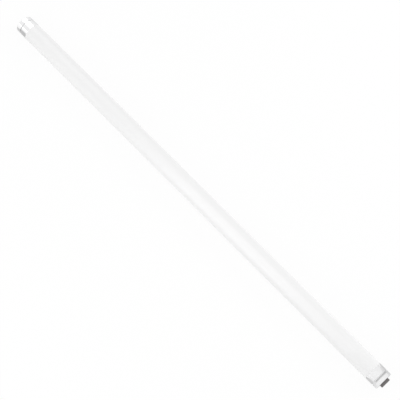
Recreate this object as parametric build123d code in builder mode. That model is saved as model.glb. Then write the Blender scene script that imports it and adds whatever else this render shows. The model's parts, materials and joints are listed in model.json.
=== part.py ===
"""Straight LED tube lamp with a frosted round cover and swivelling two-contact end caps.

Millimetres. X runs along the tube, from the far end (-X) to the near end (+X), Z is up, the way
the light leaves, and the origin is the middle of the tube's axis.
"""

import os
from math import asin, degrees, sqrt

from build123d import *

os.makedirs("parts", exist_ok=True)

# Cover tube
overall_length = 854.0  # over both contact bosses
tube_diameter = 31.75
tube_wall = 1.3
rib_depth = 1.6  # how far the two holding ribs stand in from the wall
rib_height = 1.2

# Heat-sink rail, a closed D that lies in the lower half of the tube
rail_depth = 14.0  # from its round back to the flat bed
rail_wall = 1.4
bed_thickness = 1.5
rail_clearance = 0.2
port_radius = 2.2  # outside of the two screw ports
lip_wall = 1.2
lip_overlap = 1.0
lip_setback = 1.5  # from the tube's rib to the lip that holds the light board

# Light board
board_thickness = 1.2
board_clearance = 0.15
board_setback = 2.0
board_lead_overlap = 6.0
led_count = 56
led_pitch = 13.4
led_length = 3.5
led_width = 2.8
led_height = 0.8
led_window = 0.4  # rim around the light window
led_window_depth = 0.2

# End caps
cap_length = 23.0  # from the tube's end to the end face
ring_length = 8.8
parting_gap = 1.0
parting_chamfer = 0.4
edge_break = 0.15
web_thickness = 2.5
sleeve_wall = 1.3
shoulder_thickness = 2.0
neck_wall = 1.9
groove_depth = 0.8
groove_width = 1.8
groove_setback = 0.1
tongue_length = 8.0
tongue_wall = 1.6
tongue_clearance = 0.15
lead_space = 10.0  # between the cap's web and the rail, where the leads turn
lead_hole_radius = 3.0

# Swivel ring
ring_step = 0.2  # ring smaller than the tube, on the radius
ring_edge_radius = 1.6
end_wall = 1.8
skirt_wall = 1.6
swivel_clearance = 0.2
swivel_limit = 90.0  # degrees each way

# Contact boss
boss_length = 17.0
boss_width = 8.5
boss_height = 4.6
boss_edge_radius = 0.6
boss_clearance = 0.1
flange_thickness = 2.4
flange_clearance = 0.05
flange_gap = 0.4
well_radius = 2.2
well_depth = 4.0
stop_pin_radius = 0.7
stop_pin_length = 1.6
stop_clearance = 0.1

# Contacts and their strap
contact_radius = 1.2
contact_head_radius = 2.0
contact_head_thickness = 1.0
contact_fit = 0.05
tail_radius = 0.8
clinch_radius = 1.3
clinch_thickness = 0.4
strap_thickness = 0.6
strap_margin = 2.0  # strap around each contact tail

# Collar screws
screw_radius = 1.25
screw_head_radius = 2.1
screw_head_height = 1.8
screw_head_edge = 0.8
screw_grip = 8.0  # length held in the rail's port
screw_fit = 0.05
screw_hole_clearance = 0.25

# Leads
lead_radius = 0.8
lead_bend = 2.6
lead_joint_gap = 0.15
led_lead_radius = 0.65
led_lead_spread = 4.0

# Driver board and its insulator
insulator_wall = 0.5
insulator_setback = 1.0
insulator_overhang = 10.0  # past the driver board's far end
driver_thickness = 1.2
driver_setback = 3.0
driver_margin = 12.0  # bare board at each end, for the leads
solder_gap = 0.5
seat_gap = 0.1  # under a round part laid on its side
part_spacing = 4.0

# Parts on the driver board: length along the tube, width and height where they aren't round
fuse_length = 9.0
fuse_radius = 1.6
fuse_edge = 0.6
varistor_radius = 3.5
varistor_height = 3.8
varistor_edge = 0.9
film_size = (10.0, 5.0, 5.2)
choke_radius = 3.3
choke_waist = 2.3
choke_height = 5.2
choke_flange = 0.9
bridge_size = (6.5, 4.8, 2.4)
chip_size = (4.9, 3.9, 1.6)
diode_size = (4.4, 2.6, 2.2)
block_edge = 0.3
can_radius = 2.5
can_length = 11.0
can_groove = 0.3
can_groove_place = 1.3
core_length = 14.0
core_width = 11.4
core_height = 5.0
core_wall = 2.8
core_bridge_width = 5.0
core_bridge_height = 3.0
winding_height = 5.4
winding_corner = 2.0
winding_clearance = 0.5

# Stations along the near end
tip_x = overall_length / 2
face_x = tip_x - boss_height
wall_x = face_x - end_wall
flange_x = wall_x - flange_thickness
neck_front_x = flange_x - flange_gap
ring_back_x = face_x - ring_length
collar_front_x = ring_back_x - parting_gap
tube_end_x = face_x - cap_length
web_front_x = tube_end_x + web_thickness
groove_back_x = ring_back_x + groove_setback
groove_front_x = groove_back_x + groove_width
rail_end_x = tube_end_x - lead_space
board_end_x = rail_end_x - board_setback

# Radii, from the outside in
tube_radius = tube_diameter / 2
tube_bore = tube_radius - tube_wall
rail_radius = tube_bore - rail_clearance
hollow_radius = rail_radius - rail_wall
ring_radius = tube_radius - ring_step
skirt_radius = ring_radius - skirt_wall
neck_radius = skirt_radius - swivel_clearance
neck_bore = neck_radius - neck_wall
groove_radius = neck_radius - groove_depth
flange_radius = skirt_radius - flange_clearance
stop_orbit = neck_radius - neck_wall / 2

# Levels in the tube, from the bed down and up
bed_level = rail_depth - rail_radius
hollow_top = bed_level - bed_thickness
rib_floor = bed_level + rail_clearance
rib_top = rib_floor + rib_height
rib_face = sqrt(tube_bore**2 - bed_level**2) - rib_depth
board_top = bed_level + board_thickness

# Screw ports, in the upper corners of the rail's hollow
port_level = hollow_top - 0.75 * port_radius
port_side = sqrt((rail_radius - port_radius - rail_clearance) ** 2 - port_level**2)
port_places = [(-port_side, port_level), (port_side, port_level)]

# Light board between the rail's lips
lip_face = rib_face - lip_setback - lip_wall
board_width = 2 * (lip_face - board_clearance)
lip_height = board_thickness + board_clearance

# Driver and its insulator under the bed
insulator_radius = hollow_radius - rail_clearance
insulator_top = hollow_top - rail_clearance
insulator_width = 2 * (port_side - port_radius - rail_clearance)
insulator_near_x = rail_end_x - insulator_setback
driver_near_x = rail_end_x - driver_setback
driver_top = insulator_top - insulator_wall - solder_gap
driver_floor = driver_top - driver_thickness
driver_width = insulator_width - 2 * insulator_wall - 2 * rail_clearance

# Parts in a row along the driver board, from the mains end
driver_row = [
    ("fuse_resistor", fuse_length),
    ("surge_varistor", 2 * varistor_radius),
    ("film_capacitor", film_size[0]),
    ("filter_choke", 2 * choke_radius),
    ("bridge_rectifier", bridge_size[0]),
    ("bulk_capacitor_a", can_length),
    ("bulk_capacitor_b", can_length),
    ("controller_chip", chip_size[0]),
    ("flyback_transformer", core_length),
    ("output_diode", diode_size[0]),
    ("output_capacitor", can_length),
]
middle_x = {}
row_x = driver_near_x - driver_margin
for part_name, part_length in driver_row:
    middle_x[part_name] = row_x - part_length / 2
    row_x -= part_length + part_spacing
driver_far_x = row_x + part_spacing - driver_margin
driver_length = driver_near_x - driver_far_x
insulator_far_x = driver_far_x - insulator_overhang

contact_spread = (boss_length - boss_width) / 2
contact_places = [(-contact_spread, 0), (contact_spread, 0)]


def below(radius, top, width):
    """The part of a circle under a level line, trimmed to a width."""
    with BuildSketch() as section:
        Circle(radius)
        with Locations((0, top)):
            Rectangle(width, 2 * radius, align=(Align.CENTER, Align.MAX), mode=Mode.INTERSECT)
    return section.sketch


def finish(builder, name):
    """Label a finished piece and write it."""
    builder.part.label = name
    export_step(builder.part, f"parts/{name}.step")


def far_copy(near, name):
    """The same piece at the other end of the tube."""
    with BuildPart() as far:
        mirror(near.part, about=Plane.YZ)
    finish(far, name)


# Frosted cover tube with the two ribs that hold the rail down
with BuildPart() as diffuser_tube:
    with BuildSketch(Plane.YZ.offset(-tube_end_x)):
        Circle(tube_radius)
        Circle(tube_bore, mode=Mode.SUBTRACT)
        rib_width = tube_radius - tube_wall / 2 - rib_face
        rib_middle = rib_face + rib_width / 2
        with Locations((-rib_middle, rib_floor), (rib_middle, rib_floor)):
            Rectangle(rib_width, rib_height, align=(Align.CENTER, Align.MIN))
    extrude(amount=2 * tube_end_x)
finish(diffuser_tube, "diffuser_tube")

# Heat-sink rail: closed D with screw ports, and lips above the bed for the light board
rail_outline = below(rail_radius, bed_level, 2 * rail_radius)
rail_hollow = below(hollow_radius, hollow_top, 2 * hollow_radius)
with BuildPart() as heat_sink_rail:
    with BuildSketch(Plane.YZ.offset(-rail_end_x)):
        add(rail_outline)
        add(rail_hollow, mode=Mode.SUBTRACT)
        with Locations(*port_places):
            Circle(port_radius)
        for side, inward in ((-1, Align.MIN), (1, Align.MAX)):
            with Locations((side * (lip_face + lip_wall), bed_level)):
                Rectangle(lip_wall, lip_height, align=(inward, Align.MIN))
            with Locations((side * (lip_face + lip_wall), bed_level + lip_height)):
                Rectangle(lip_wall + lip_overlap, lip_wall, align=(inward, Align.MIN))
        with Locations(*port_places):
            Circle(screw_radius + screw_fit, mode=Mode.SUBTRACT)
    extrude(amount=2 * rail_end_x)
finish(heat_sink_rail, "heat_sink_rail")

# Light board on the bed
with BuildPart() as led_board:
    with BuildSketch(Plane.XY.offset(bed_level)):
        Rectangle(2 * board_end_x, board_width)
    extrude(amount=board_thickness)
finish(led_board, "led_board")

# Row of light packages, each with its sunk window
with BuildPart() as led_packages:
    with BuildSketch(Plane.XY.offset(board_top)):
        with GridLocations(led_pitch, 1, led_count, 1):
            Rectangle(led_length, led_width)
    extrude(amount=led_height)
    with BuildSketch(Plane.XY.offset(board_top + led_height)):
        with GridLocations(led_pitch, 1, led_count, 1):
            Rectangle(led_length - 2 * led_window, led_width - 2 * led_window)
    extrude(amount=-led_window_depth, mode=Mode.SUBTRACT)
finish(led_packages, "led_packages")

# Insulating sleeve around the driver
insulator_section = below(insulator_radius, insulator_top, insulator_width)
insulator_inside = below(
    insulator_radius - insulator_wall,
    insulator_top - insulator_wall,
    insulator_width - 2 * insulator_wall,
)
with BuildPart() as driver_insulator:
    with BuildSketch(Plane.YZ.offset(insulator_near_x)):
        add(insulator_section)
        add(insulator_inside, mode=Mode.SUBTRACT)
    extrude(amount=insulator_far_x - insulator_near_x)
finish(driver_insulator, "driver_insulator")

# Driver board, its parts hanging under it
with BuildPart() as driver_board:
    with BuildSketch(Plane.XY.offset(driver_floor)):
        with Locations((driver_near_x - driver_length / 2, 0)):
            Rectangle(driver_length, driver_width)
    extrude(amount=driver_thickness)
finish(driver_board, "driver_board")


def block_part(name, size):
    """A moulded block under the driver board, with its lower edges bevelled."""
    length, width, height = size
    with BuildPart() as block:
        with BuildSketch(Plane.XY.offset(driver_floor)):
            with Locations((middle_x[name], 0)):
                Rectangle(length, width)
        extrude(amount=-height)
        chamfer(block.faces().sort_by(Axis.Z)[0].edges(), block_edge)
    finish(block, name)


def can_capacitor(name, *places):
    """Can capacitors on their sides, each with the rolled groove near its sealed end."""
    level = driver_floor - seat_gap - can_radius
    with BuildPart() as cans:
        for place in places:
            sealed_x = middle_x[place] + can_length / 2
            with BuildSketch(Plane.XZ):
                with BuildLine():
                    Polyline(
                        (sealed_x, level),
                        (sealed_x, level + can_radius),
                        (sealed_x - can_groove_place + can_groove, level + can_radius),
                        (sealed_x - can_groove_place, level + can_radius - can_groove),
                        (sealed_x - can_groove_place - can_groove, level + can_radius),
                        (sealed_x - can_length, level + can_radius),
                        (sealed_x - can_length, level),
                        close=True,
                    )
                make_face()
            revolve(axis=Axis((0, 0, level), (1, 0, 0)))
    finish(cans, name)


with BuildPart() as fuse_resistor:
    with BuildSketch(Plane.YZ.offset(middle_x["fuse_resistor"] - fuse_length / 2)):
        with Locations((driver_width / 4, driver_floor - seat_gap - fuse_radius)):
            Circle(fuse_radius)
    extrude(amount=fuse_length)
    chamfer(fuse_resistor.edges().filter_by(GeomType.CIRCLE), fuse_edge)
finish(fuse_resistor, "fuse_resistor")

with BuildPart() as surge_varistor:
    with BuildSketch(Plane.XY.offset(driver_floor)):
        with Locations((middle_x["surge_varistor"], 0)):
            Circle(varistor_radius)
    extrude(amount=-varistor_height)
    chamfer(surge_varistor.faces().sort_by(Axis.Z)[0].edges(), varistor_edge)
finish(surge_varistor, "surge_varistor")

block_part("film_capacitor", film_size)

# Choke: a drum core, with its winding in the waist
with BuildPart() as filter_choke:
    choke_x = middle_x["filter_choke"]
    with BuildSketch(Plane.XZ):
        with BuildLine():
            Polyline(
                (choke_x, driver_floor),
                (choke_x + choke_radius, driver_floor),
                (choke_x + choke_radius, driver_floor - choke_flange),
                (choke_x + choke_waist, driver_floor - choke_flange),
                (choke_x + choke_waist, driver_floor - choke_height + choke_flange),
                (choke_x + choke_radius, driver_floor - choke_height + choke_flange),
                (choke_x + choke_radius, driver_floor - choke_height),
                (choke_x, driver_floor - choke_height),
                close=True,
            )
        make_face()
    revolve(axis=Axis((choke_x, 0, 0), (0, 0, 1)))
finish(filter_choke, "filter_choke")

block_part("bridge_rectifier", bridge_size)
can_capacitor("bulk_capacitors", "bulk_capacitor_a", "bulk_capacitor_b")
block_part("controller_chip", chip_size)

# Transformer: wound bobbin between the two ends of its core
with BuildPart() as flyback_transformer:
    core_x = middle_x["flyback_transformer"]
    winding_length = core_length - 2 * core_wall
    end_middle = (core_length - core_wall) / 2
    with BuildSketch(Plane.XY.offset(driver_floor)):
        with Locations((core_x, 0)):
            RectangleRounded(winding_length, core_width - 2 * winding_clearance, winding_corner)
    extrude(amount=-winding_height)
    with BuildSketch(Plane.XY.offset(driver_floor - (core_height - core_bridge_height) / 2)):
        with Locations((core_x, 0)):
            Rectangle(core_length, core_bridge_width)
    extrude(amount=-core_bridge_height)
    with BuildSketch(Plane.XY.offset(driver_floor)):
        with Locations((core_x - end_middle, 0), (core_x + end_middle, 0)):
            Rectangle(core_wall, core_width)
    extrude(amount=-core_height)
finish(flyback_transformer, "flyback_transformer")

block_part("output_diode", diode_size)
can_capacitor("output_capacitor", "output_capacitor")


def lead(name, points, across, radius):
    """An insulated lead along straight runs and tangent bends, in a plane along the tube."""
    with BuildPart() as wire:
        with BuildLine(Plane.XZ.offset(-across)) as route:
            FilletPolyline(*points, radius=lead_bend)
        with BuildSketch(Plane(route.line @ 0, z_dir=route.line % 0)):
            Circle(radius)
        sweep()
    finish(wire, name)


# Mains leads: each starts on the axis, at its contact strap, and turns down behind the web
lead_start_x = flange_x - strap_thickness - lead_joint_gap
lead_turn_x = tube_end_x - lead_space / 2
solder_level = driver_floor - lead_radius
hollow_floor = -hollow_radius + lead_radius + seat_gap
lead("near_lead", [
    (lead_start_x, 0),
    (lead_turn_x, 0),
    (lead_turn_x, solder_level),
    (driver_near_x - board_lead_overlap, solder_level),
], 0, lead_radius)
lead("far_lead", [
    (-lead_start_x, 0),
    (-lead_turn_x, 0),
    (-lead_turn_x, hollow_floor),
    (insulator_far_x - 2 * lead_space, hollow_floor),
    (insulator_far_x - lead_space / 2, solder_level),
    (driver_far_x + board_lead_overlap, solder_level),
], 0, lead_radius)

# Two leads around the rail's end, from the driver up to the light board
led_solder_level = driver_floor - led_lead_radius
led_turn_x = rail_end_x + lead_bend + led_lead_radius
for name, side in (("led_lead_positive", -1), ("led_lead_negative", 1)):
    lead(name, [
        (driver_near_x - board_lead_overlap, led_solder_level),
        (led_turn_x, led_solder_level),
        (led_turn_x, board_top + led_lead_radius),
        (board_end_x - board_lead_overlap, board_top + led_lead_radius),
    ], side * led_lead_spread, led_lead_radius)

# Fixed collar of each end cap: web, sleeve and grooved neck in one turning
with BuildPart() as collar:
    with BuildSketch(Plane.XZ):
        with BuildLine():
            Polyline(
                (tube_end_x, lead_hole_radius),
                (tube_end_x, tube_radius - edge_break),
                (tube_end_x + edge_break, tube_radius),
                (collar_front_x - parting_chamfer, tube_radius),
                (collar_front_x, tube_radius - parting_chamfer),
                (collar_front_x, neck_radius),
                (groove_back_x, neck_radius),
                (groove_back_x, groove_radius),
                (groove_front_x, groove_radius),
                (groove_front_x, neck_radius),
                (neck_front_x, neck_radius),
                (neck_front_x, neck_bore),
                (collar_front_x - shoulder_thickness, neck_bore),
                (collar_front_x - shoulder_thickness, tube_radius - sleeve_wall),
                (web_front_x, tube_radius - sleeve_wall),
                (web_front_x, lead_hole_radius),
                close=True,
            )
        make_face()
    revolve(axis=Axis.X)
    # Tongue that plugs into the upper half of the tube
    with BuildSketch(Plane.YZ.offset(tube_end_x)):
        Circle(tube_bore - tongue_clearance)
        Circle(tube_bore - tongue_clearance - tongue_wall, mode=Mode.SUBTRACT)
        with Locations((0, rib_top + rail_clearance)):
            Rectangle(tube_diameter, tube_diameter, align=(Align.CENTER, Align.MAX), mode=Mode.SUBTRACT)
    extrude(amount=-tongue_length)
    # Screw posts that reach the rail
    with BuildSketch(Plane.YZ.offset(tube_end_x)):
        with Locations(*port_places):
            Circle(port_radius)
    extrude(amount=-lead_space)
    with BuildSketch(Plane.YZ.offset(web_front_x)):
        with Locations(*port_places):
            Circle(screw_radius + screw_hole_clearance)
    extrude(amount=-web_thickness - lead_space, mode=Mode.SUBTRACT)
    # Relief in the neck's rim, which the stop pin travels along
    with BuildSketch(Plane.YZ.offset(neck_front_x)):
        with BuildLine():
            stop_angle = swivel_limit + degrees(asin((stop_pin_radius + stop_clearance) / stop_orbit))
            relief = CenterArc((0, 0), tube_radius, 90 - stop_angle, 2 * stop_angle)
            Polyline(relief @ 1, (0, 0), relief @ 0)
        make_face()
    extrude(amount=-stop_pin_length, mode=Mode.SUBTRACT)
finish(collar, "near_collar")
far_copy(collar, "far_collar")

# Two self-tapping screws through the web and posts into the rail
with BuildPart() as collar_screws:
    with BuildSketch(Plane.YZ.offset(rail_end_x - screw_grip)):
        with Locations(*port_places):
            Circle(screw_radius)
    extrude(amount=screw_grip + lead_space + web_thickness)
    with BuildSketch(Plane.YZ.offset(web_front_x)):
        with Locations(*port_places):
            Circle(screw_head_radius)
    extrude(amount=screw_head_height)
    chamfer(collar_screws.faces().sort_by(Axis.X)[-2:].edges(), screw_head_edge)
finish(collar_screws, "near_collar_screws")
far_copy(collar_screws, "far_collar_screws")

# Swivel ring: drawn cap whose rolled bead runs in the collar's groove
with BuildPart() as swivel_ring:
    with BuildSketch(Plane.XZ):
        with BuildLine():
            Polyline(
                (ring_back_x, skirt_radius),
                (ring_back_x, ring_radius - parting_chamfer),
                (ring_back_x + parting_chamfer, ring_radius),
                (face_x, ring_radius),
                (face_x, 0),
                (wall_x, 0),
                (wall_x, skirt_radius),
                (groove_front_x - swivel_clearance, skirt_radius),
                (groove_front_x - swivel_clearance, groove_radius + swivel_clearance),
                (groove_back_x + swivel_clearance, groove_radius + swivel_clearance),
                (groove_back_x + swivel_clearance, skirt_radius),
                close=True,
            )
        make_face()
    revolve(axis=Axis.X)
    fillet(swivel_ring.faces().sort_by(Axis.X)[-1].edges(), ring_edge_radius)
    with BuildSketch(Plane.YZ.offset(face_x)):
        SlotOverall(boss_length + 2 * boss_clearance, boss_width + 2 * boss_clearance)
    extrude(amount=-end_wall, mode=Mode.SUBTRACT)
finish(swivel_ring, "near_swivel_ring")
far_copy(swivel_ring, "far_swivel_ring")

# Contact boss: oblong insulator on a round flange, with two wells and the swivel's stop pin
with BuildPart() as contact_boss:
    with BuildSketch(Plane.YZ.offset(wall_x)):
        SlotOverall(boss_length, boss_width)
    extrude(amount=end_wall + boss_height)
    fillet(contact_boss.faces().sort_by(Axis.X)[-1].edges(), boss_edge_radius)
    with BuildSketch(Plane.YZ.offset(flange_x)):
        Circle(flange_radius)
    extrude(amount=flange_thickness)
    with BuildSketch(Plane.YZ.offset(flange_x)):
        with Locations((0, stop_orbit)):
            Circle(stop_pin_radius)
    extrude(amount=-stop_pin_length)
    with BuildSketch(Plane.YZ.offset(tip_x)):
        with Locations(*contact_places):
            Circle(well_radius)
    extrude(amount=-well_depth, mode=Mode.SUBTRACT)
    with BuildSketch(Plane.YZ.offset(tip_x)):
        with Locations(*contact_places):
            Circle(contact_radius + contact_fit)
    extrude(amount=flange_x - tip_x, mode=Mode.SUBTRACT)
    with BuildSketch(Plane.YZ.offset(flange_x)):
        with Locations(*contact_places):
            Circle(contact_head_radius + contact_fit)
    extrude(amount=contact_head_thickness, mode=Mode.SUBTRACT)
finish(contact_boss, "near_contact_boss")
far_copy(contact_boss, "far_contact_boss")

# Contacts: pins set in the boss, headed behind its flange and clinched on the strap
for name, place in zip(("left", "right"), contact_places):
    with BuildPart() as contact:
        with BuildSketch(Plane.YZ.offset(flange_x)):
            with Locations(place):
                Circle(contact_head_radius)
        extrude(amount=contact_head_thickness)
        with BuildSketch(Plane.YZ.offset(flange_x)):
            with Locations(place):
                Circle(contact_radius)
        extrude(amount=tip_x - well_depth - flange_x)
        with BuildSketch(Plane.YZ.offset(flange_x)):
            with Locations(place):
                Circle(tail_radius)
        extrude(amount=-strap_thickness)
        with BuildSketch(Plane.YZ.offset(flange_x - strap_thickness)):
            with Locations(place):
                Circle(clinch_radius)
        extrude(amount=-clinch_thickness)
    finish(contact, f"near_contact_{name}")
    far_copy(contact, f"far_contact_{name}")

# Strap that ties the two contacts together behind the flange
with BuildPart() as contact_strap:
    with BuildSketch(Plane.YZ.offset(flange_x)):
        SlotCenterToCenter(2 * contact_spread, 2 * (tail_radius + strap_margin))
        with Locations(*contact_places):
            Circle(tail_radius + contact_fit, mode=Mode.SUBTRACT)
    extrude(amount=-strap_thickness)
finish(contact_strap, "near_contact_strap")
far_copy(contact_strap, "far_contact_strap")
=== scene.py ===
"""Looks of the LED tube lamp: camera, light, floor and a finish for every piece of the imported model."""

import json
import math

import bpy
from mathutils import Matrix, Vector


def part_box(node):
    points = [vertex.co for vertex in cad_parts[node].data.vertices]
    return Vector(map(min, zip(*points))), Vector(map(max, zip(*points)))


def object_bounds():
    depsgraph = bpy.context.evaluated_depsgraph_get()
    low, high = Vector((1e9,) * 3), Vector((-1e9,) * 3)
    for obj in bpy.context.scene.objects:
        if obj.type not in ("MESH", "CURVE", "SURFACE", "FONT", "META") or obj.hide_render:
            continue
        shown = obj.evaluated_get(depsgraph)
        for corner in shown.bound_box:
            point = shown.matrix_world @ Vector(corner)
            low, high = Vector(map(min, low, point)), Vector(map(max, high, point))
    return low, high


# Camera, from the photograph's frame: metres, degrees, and the lens in millimetres
CAMERA_AZIMUTH = 46.819
CAMERA_ELEVATION = 69.049
CAMERA_DISTANCE = 1.8
CAMERA_LENS = 100.739
CAMERA_AIM_RIGHT = 0.01152
CAMERA_AIM_UP = -0.01337
SENSOR_WIDTH = 36.0

# Light: the sky's level, and softboxes. Each is aimed at a place along the tube, from a tilt along it to
# the far end and a tilt across it, both in degrees from overhead; sizes and distances are in metres, and
# the brightness is times a white sky's. Softboxes light the surfaces, and reflectors show in the gloss.
SKY_LEVEL = 0.82
SOFTBOXES = [
    dict(name="key_softbox", aim=0.0, along=10, across=-58,
         distance=1.5, width=0.5, length=0.7, bright=3.5),
    dict(name="fill_softbox", aim=-0.1, along=-20, across=58,
         distance=1.6, width=0.6, length=0.7, bright=3.8),
]
REFLECTORS = [
    dict(name="cover_reflector", aim=0.14, along=13, across=-35,
         distance=0.6, width=1.4, length=0.54, bright=1.7),
    dict(name="far_reflector", aim=-0.41, along=26, across=27,
         distance=1.5, width=1.4, length=0.5, bright=1.14),
    dict(name="far_strip", aim=-0.41, along=26, across=-60,
         distance=1.5, width=0.2, length=0.5, bright=1.12),
]

# Cards around the caps, for the metal to mirror: grey ones give it dark edges, pale ones beside them end
# these, and one that stands behind each cap hides the reflectors from low views. Each has its corners in
# metres, with heights above the floor, and its level, where a white sky's is 1.
CARDS = {
    "near_front_card": (
        [(0.4045, -0.106, 0.001), (0.4115, -0.106, 0.001),
         (0.4115, -0.021, 0.001), (0.3968, -0.021, 0.001)], 0.65),
    "near_collar_card": (
        [(0.3977, 0.021, 0.001), (0.414, 0.021, 0.001),
         (0.414, 0.14, 0.03), (0.4008, 0.14, 0.03)], 0.66),
    "near_front_pale_card": (
        [(0.385, -0.106, 0.001), (0.4045, -0.106, 0.001),
         (0.3968, -0.021, 0.001), (0.385, -0.021, 0.001)], 1.0),
    "near_pale_card": (
        [(0.385, 0.021, 0.001), (0.3977, 0.021, 0.001),
         (0.4008, 0.14, 0.03), (0.385, 0.14, 0.03)], 1.0),
    "near_ring_card": (
        [(0.414, 0.021, 0.001), (0.50, 0.021, 0.001),
         (0.50, 0.14, 0.03), (0.414, 0.14, 0.03)], 0.72),
    "near_tall_card": (
        [(0.3965, 0.14, 0.03), (0.4075, 0.14, 0.03),
         (0.4075, 0.14, 0.16), (0.3965, 0.14, 0.05)], 0.74),
    "near_standing_card": (
        [(0.36, -0.2, 0.034), (0.36, 0.1, 0.034),
         (0.36, 0.1, 0.15), (0.36, -0.2, 0.15)], 0.85),
    "far_collar_card": (
        [(-0.418, -0.021, 0.001), (-0.385, -0.021, 0.001),
         (-0.385, -0.053, 0.025), (-0.434, -0.053, 0.025)], 0.56),
    "far_ring_card": (
        [(-0.47, -0.021, 0.001), (-0.418, -0.021, 0.001),
         (-0.4265, -0.039, 0.0145), (-0.47, -0.039, 0.0145)], 0.65),
    "far_white_card": (
        [(-0.50, -0.075, 0.001), (-0.43, -0.075, 0.001),
         (-0.43, -0.075, 0.05), (-0.50, -0.075, 0.05)], 1.07),
    "far_back_card": (
        [(-0.70, 0.021, 0.001), (-0.39, 0.021, 0.001),
         (-0.39, 0.266, 0.001), (-0.70, 0.266, 0.001)], 0.8),
    "far_standing_card": (
        [(-0.36, -0.2, 0.034), (-0.36, 0.1, 0.034),
         (-0.36, 0.1, 0.15), (-0.36, -0.2, 0.15)], 0.95),
}

# Floor: a round disc in metres, with the share of plain white in what the camera and the metal see of it
FLOOR_RADIUS = 6.0
FLOOR_SIDES = 64
FLOOR_COLOUR = 0.95
FLOOR_WHITE_SEEN = 0.93
FLOOR_WHITE_MIRRORED = 0.2

# Painted shade on the near ring beside the parting groove, in metres from the ring's back edge along the
# tube:
# where it starts and the span where it fades, with the brightness it leaves. The painted shade thins out at
# the ring's front and back, over spans across the tube, to a brightness of its own.
GROOVE_SHADE_START = -0.0002
GROOVE_SHADE_FADE = (0.0013, 0.0036)
GROOVE_SHADE_LEVEL = 0.6
GROOVE_SHADE_THIN_FRONT = (-0.0145, -0.005)
GROOVE_SHADE_THIN_BACK = (0.0065, 0.0108)
GROOVE_SHADE_THIN_LEVEL = 0.95

# Duller metal on the caps' edges and ends: the turn to the tube's axis where it sets in, and its roughness
DULL_TURN = (0.15, 0.5)
DULL_ROUGHNESS = 0.45

# Layers of grain in the finishes: grains to the metre along each axis, or one number for lines turned around
# the tube's axis, then the change of shade, the change of roughness, and the relief in metres
NOISE_DETAIL = 3.0
NOISE_RANGE = (0.3, 0.7)
PLAIN_GRAIN = (((2600, 2600, 2600), 0.04, 0.05, 0.0),)
FROSTED = (((2600, 2600, 2600), 0.004, 0.03, 4e-6), ((4, 700, 700), 0.004, 0.03, 2e-6))
TURNED = ((6000, 0.02, 0.02, 8e-7), ((150, 150, 150), 0.012, 0.03, 0.0))
MOULDED = (((2600, 2600, 2600), 0.05, 0.05, 8e-6), ((180, 180, 180), 0.05, 0.04, 0.0))
DRAWN = (((6, 1600, 1600), 0.04, 0.05, 3e-6),)

# Finish for each of the record's slots, with plain grain and no metal where it names none
FINISHES = {
    "frosted_cover": dict(colour=(0.885, 0.885, 0.885), roughness=0.36, layers=FROSTED),
    "cap_metal": dict(colour=(0.86, 0.86, 0.865), roughness=0.14, metallic=1.0, layers=TURNED),
    "boss_plastic": dict(colour=(0.160, 0.149, 0.146), roughness=0.48, layers=MOULDED),
    "contact_metal": dict(colour=(0.72, 0.52, 0.22), roughness=0.3, metallic=1.0, layers=TURNED),
    "screw_steel": dict(colour=(0.55, 0.55, 0.56), roughness=0.32, metallic=1.0),
    "rail_metal": dict(colour=(0.74, 0.74, 0.75), roughness=0.35, metallic=1.0, layers=DRAWN),
    "light_board": dict(colour=(0.86, 0.86, 0.84), roughness=0.4),
    "light_package": dict(colour=(0.9, 0.72, 0.2), roughness=0.35),
    "insulator_film": dict(colour=(0.78, 0.8, 0.83), roughness=0.25, layers=DRAWN),
    "driver_board": dict(colour=(0.05, 0.22, 0.08), roughness=0.35),
    "resistor_body": dict(colour=(0.2, 0.36, 0.44), roughness=0.45),
    "varistor_coat": dict(colour=(0.04, 0.1, 0.34), roughness=0.35),
    "film_case": dict(colour=(0.62, 0.42, 0.04), roughness=0.35),
    "ferrite": dict(colour=(0.05, 0.05, 0.053), roughness=0.6),
    "black_mould": dict(colour=(0.02, 0.02, 0.02), roughness=0.5, layers=MOULDED),
    "can_sleeve": dict(colour=(0.03, 0.03, 0.04), roughness=0.3),
    "winding_tape": dict(colour=(0.75, 0.55, 0.06), roughness=0.3),
    "lead_black": dict(colour=(0.02, 0.02, 0.02), roughness=0.5),
    "lead_white": dict(colour=(0.8, 0.8, 0.8), roughness=0.5),
    "lead_red": dict(colour=(0.5, 0.02, 0.015), roughness=0.5),
}


def new_material(name):
    """A node material, with its nodes, links and main shader."""
    material = bpy.data.materials.new(name)
    material.use_nodes = True
    nodes = material.node_tree.nodes
    return material, nodes, material.node_tree.links, nodes["Principled BSDF"]


def calculate(nodes, links, operation, *values):
    """Arithmetic on values, each a socket or a number."""
    node = nodes.new("ShaderNodeMath")
    node.operation = operation
    for socket, value in zip(node.inputs, values):
        if isinstance(value, (int, float)):
            socket.default_value = value
        else:
            links.new(value, socket)
    return node.outputs["Value"]


def ramp(nodes, links, value, start, end, low, high, smooth="SMOOTHSTEP"):
    """A change from low to high while a value goes from start to end."""
    node = nodes.new("ShaderNodeMapRange")
    node.interpolation_type = smooth
    for name, number in (("From Min", start), ("From Max", end), ("To Min", low), ("To Max", high)):
        node.inputs[name].default_value = number
    links.new(value, node.inputs["Value"])
    return node.outputs["Result"]


def object_place(nodes, links, stretch):
    """Place on the object in metres, scaled by axis."""
    coordinates = nodes.new("ShaderNodeTexCoord")
    mapping = nodes.new("ShaderNodeMapping")
    mapping.inputs["Scale"].default_value = stretch
    links.new(coordinates.outputs["Object"], mapping.inputs["Vector"])
    return mapping.outputs["Vector"]


def split_place(nodes, links):
    """Place on the object in metres, as a value for each axis."""
    place = nodes.new("ShaderNodeSeparateXYZ")
    links.new(object_place(nodes, links, (1, 1, 1)), place.inputs["Vector"])
    return place.outputs


def axis_place(nodes, links):
    """Place along the tube's axis and distance from it, in metres."""
    place = split_place(nodes, links)
    squares = [calculate(nodes, links, "MULTIPLY", place[axis], place[axis]) for axis in ("Y", "Z")]
    radius = calculate(nodes, links, "SQRT", calculate(nodes, links, "ADD", *squares))
    return place["X"], radius


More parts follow.
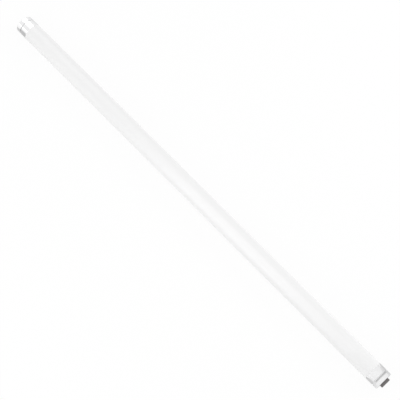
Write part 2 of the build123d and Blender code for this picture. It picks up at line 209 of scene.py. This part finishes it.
def noise(nodes, links, stretch):
    """Noise in grains to the metre along each axis, or, from one number, in lines turned around the tube."""
    texture = nodes.new("ShaderNodeTexNoise")
    texture.inputs["Scale"].default_value = 1.0
    texture.inputs["Detail"].default_value = NOISE_DETAIL
    if isinstance(stretch, (int, float)):
        texture.noise_dimensions = "1D"
        path = calculate(nodes, links, "ADD", *axis_place(nodes, links))
        links.new(calculate(nodes, links, "MULTIPLY", path, stretch), texture.inputs["W"])
    else:
        links.new(object_place(nodes, links, stretch), texture.inputs["Vector"])
    return texture.outputs["Fac"]


def surface(name, colour, roughness, metallic=0.0, layers=PLAIN_GRAIN):
    """A finish whose layers of grain change its colour, gloss and relief."""
    material, nodes, links, shader = new_material(name)
    shader.inputs["Metallic"].default_value = metallic
    shade, gloss, normal = 1.0, roughness, None
    for stretch, contrast, spread, relief in layers:
        value = noise(nodes, links, stretch)
        change = ramp(nodes, links, value, *NOISE_RANGE, -1, 1, smooth="LINEAR")
        shade = calculate(nodes, links, "MULTIPLY_ADD", change, contrast, shade)
        gloss = calculate(nodes, links, "MULTIPLY_ADD", change, spread, gloss)
        if relief:
            bump = nodes.new("ShaderNodeBump")
            bump.inputs["Distance"].default_value = relief
            links.new(value, bump.inputs["Height"])
            if normal:
                links.new(normal, bump.inputs["Normal"])
            normal = bump.outputs["Normal"]
    shaded = nodes.new("ShaderNodeVectorMath")
    shaded.operation = "SCALE"
    shaded.inputs["Vector"].default_value = colour
    links.new(shade, shaded.inputs["Scale"])
    links.new(shaded.outputs["Vector"], shader.inputs["Base Color"])
    links.new(gloss, shader.inputs["Roughness"])
    if normal:
        links.new(normal, shader.inputs["Normal"])
    return material


def paint_groove_shade_and_dull_caps(material, ring_edge):
    """Paints shade on the caps' metal beside the near ring's back edge, by the parting groove, and dulls its
    edges and ends.
    """
    nodes = material.node_tree.nodes
    links = material.node_tree.links
    shader = nodes["Principled BSDF"]
    place = split_place(nodes, links)
    along = calculate(nodes, links, "SUBTRACT", place["X"], ring_edge)
    # Painted shade: the metal's colour darkened from the near ring's back edge, thinning towards the ring's
    # front and back
    bright = calculate(nodes, links, "LESS_THAN", along, GROOVE_SHADE_START)
    for value in (
            ramp(nodes, links, along, *GROOVE_SHADE_FADE, GROOVE_SHADE_LEVEL, 1),
            ramp(nodes, links, place["Y"], *GROOVE_SHADE_THIN_FRONT, GROOVE_SHADE_THIN_LEVEL, 0),
            ramp(nodes, links, place["Y"], *GROOVE_SHADE_THIN_BACK, 0, GROOVE_SHADE_THIN_LEVEL)):
        bright = calculate(nodes, links, "MAXIMUM", bright, value)
    groove_shaded = nodes.new("ShaderNodeVectorMath")
    groove_shaded.operation = "SCALE"
    links.new(shader.inputs["Base Color"].links[0].from_socket, groove_shaded.inputs["Vector"])
    links.new(bright, groove_shaded.inputs["Scale"])
    links.new(groove_shaded.outputs["Vector"], shader.inputs["Base Color"])
    facing = nodes.new("ShaderNodeSeparateXYZ")
    links.new(nodes.new("ShaderNodeNewGeometry").outputs["Normal"], facing.inputs["Vector"])
    turn = calculate(nodes, links, "ABSOLUTE", facing.outputs["X"])
    roughness = calculate(
        nodes, links, "MAXIMUM",
        shader.inputs["Roughness"].links[0].from_socket,
        ramp(nodes, links, turn, *DULL_TURN, 0, DULL_ROUGHNESS))
    links.new(roughness, shader.inputs["Roughness"])


def dress(frame):
    """Gives every CAD node its finish."""
    materials = {name: surface(name, **finish) for name, finish in FINISHES.items()}
    # Painted shade by the near parting groove, and duller edges, on the caps' metal
    paint_groove_shade_and_dull_caps(materials["cap_metal"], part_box("near_swivel_ring")[0][0])
    for part in frame["record"]["subparts"]:
        mesh = frame["nodes"][part["node"]].data
        mesh.materials.clear()
        mesh.materials.append(materials[part["material_slot"]])


def ray_kinds(nodes, links):
    """Whether a ray comes straight from the camera, and whether it was mirrored or passed through."""
    path = nodes.new("ShaderNodeLightPath").outputs
    mirrored = calculate(nodes, links, "MAXIMUM", path["Is Glossy Ray"], path["Is Transmission Ray"])
    return path["Is Camera Ray"], mirrored


def add_floor(level):
    """A pale floor that looks white and keeps the object's shadow."""
    material, nodes, links, shader = new_material("floor")
    shader.inputs["Base Color"].default_value = (FLOOR_COLOUR, FLOOR_COLOUR, FLOOR_COLOUR, 1.0)
    shader.inputs["Roughness"].default_value = 1.0
    shader.inputs["Specular IOR Level"].default_value = 0.0
    direct, mirrored = ray_kinds(nodes, links)
    white_share = calculate(
        nodes, links, "MAXIMUM",
        calculate(nodes, links, "MULTIPLY", direct, FLOOR_WHITE_SEEN),
        calculate(nodes, links, "MULTIPLY", mirrored, FLOOR_WHITE_MIRRORED))
    white = nodes.new("ShaderNodeEmission")
    mix = nodes.new("ShaderNodeMixShader")
    links.new(white_share, mix.inputs["Fac"])
    links.new(shader.outputs["BSDF"], mix.inputs[1])
    links.new(white.outputs["Emission"], mix.inputs[2])
    links.new(mix.outputs["Shader"], nodes["Material Output"].inputs["Surface"])
    bpy.ops.mesh.primitive_circle_add(
        vertices=FLOOR_SIDES, radius=FLOOR_RADIUS, fill_type="NGON", location=(0, 0, level))
    floor = bpy.context.object
    floor.name = "floor"
    floor.data.materials.append(material)


def add_sky():
    """An even sky that looks white."""
    world = bpy.data.worlds.new("studio")
    bpy.context.scene.world = world
    world.use_nodes = True
    nodes = world.node_tree.nodes
    links = world.node_tree.links
    seen = calculate(nodes, links, "MAXIMUM", *ray_kinds(nodes, links))
    nodes["Background"].inputs["Color"].default_value = (1, 1, 1, 1)
    links.new(ramp(nodes, links, seen, 0, 1, SKY_LEVEL, 1), nodes["Background"].inputs["Strength"])


def add_softbox(name, aim, along, across, distance, width, length, bright):
    """A soft lamp over the tube, its width across the tube and its length along it."""
    light = bpy.data.lights.new(name, "AREA")
    light.shape = "RECTANGLE"
    light.size = width
    light.size_y = length
    light.energy = bright * math.pi * width * length
    flat = math.cos(math.radians(along))
    back = Vector((
        -math.sin(math.radians(along)),
        flat * math.sin(math.radians(across)),
        flat * math.cos(math.radians(across))))
    side = Vector((1, 0, 0)).cross(back).normalized()
    lamp = bpy.data.objects.new(name, light)
    lamp.matrix_world = Matrix((side, back.cross(side), back)).transposed().to_4x4()
    lamp.location = Vector((aim, 0, 0)) + back * distance
    lamp.visible_camera = False
    bpy.context.collection.objects.link(lamp)
    return lamp


def add_lamps():
    """The softboxes, and the reflectors that only what is glossy shows."""
    for softbox in SOFTBOXES:
        add_softbox(**softbox).visible_glossy = False
    for reflector in REFLECTORS:
        add_softbox(**reflector).visible_diffuse = False


def add_cards(level):
    """Cards around the caps, which only what is glossy shows."""
    for name, (corners, grey) in CARDS.items():
        mesh = bpy.data.meshes.new(name)
        mesh.from_pydata([(x, y, level + height) for x, y, height in corners], [], [(0, 1, 2, 3)])
        material, _, _, shader = new_material(name)
        shader.inputs["Base Color"].default_value = (0, 0, 0, 1)
        shader.inputs["Emission Color"].default_value = (grey, grey, grey, 1)
        shader.inputs["Emission Strength"].default_value = 1.0
        mesh.materials.append(material)
        card = bpy.data.objects.new(name, mesh)
        bpy.context.collection.objects.link(card)
        card.visible_camera = False
        card.visible_diffuse = False
        card.visible_shadow = False


def add_camera():
    """The photograph's view: down on the tube, its near end at the lower right."""
    azimuth = math.radians(CAMERA_AZIMUTH)
    elevation = math.radians(CAMERA_ELEVATION)
    flat = math.cos(elevation)
    back = Vector((math.sin(azimuth) * flat, -math.cos(azimuth) * flat, math.sin(elevation)))
    right = Vector((math.cos(azimuth), math.sin(azimuth), 0))
    aim = right * CAMERA_AIM_RIGHT + back.cross(right) * CAMERA_AIM_UP
    camera = bpy.data.objects.new("camera", bpy.data.cameras.new("camera"))
    camera.data.lens = CAMERA_LENS
    camera.data.sensor_width = SENSOR_WIDTH
    camera.location = aim + back * CAMERA_DISTANCE
    camera.rotation_euler = back.to_track_quat("Z", "Y").to_euler()
    bpy.context.collection.objects.link(camera)
    bpy.context.scene.camera = camera


with open("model.json") as file:
    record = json.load(file)
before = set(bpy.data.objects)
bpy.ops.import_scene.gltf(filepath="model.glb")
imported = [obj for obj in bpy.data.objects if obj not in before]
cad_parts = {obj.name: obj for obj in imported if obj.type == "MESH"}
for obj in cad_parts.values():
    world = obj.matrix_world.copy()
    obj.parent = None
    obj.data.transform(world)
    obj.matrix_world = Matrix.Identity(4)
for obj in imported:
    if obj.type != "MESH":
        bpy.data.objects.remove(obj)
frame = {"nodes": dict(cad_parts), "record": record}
cad_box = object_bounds()
bpy.context.scene.view_settings.view_transform = "Standard"
dress(frame)
add_floor(cad_box[0][2])
add_sky()
add_lamps()
add_cards(cad_box[0][2])
add_camera()
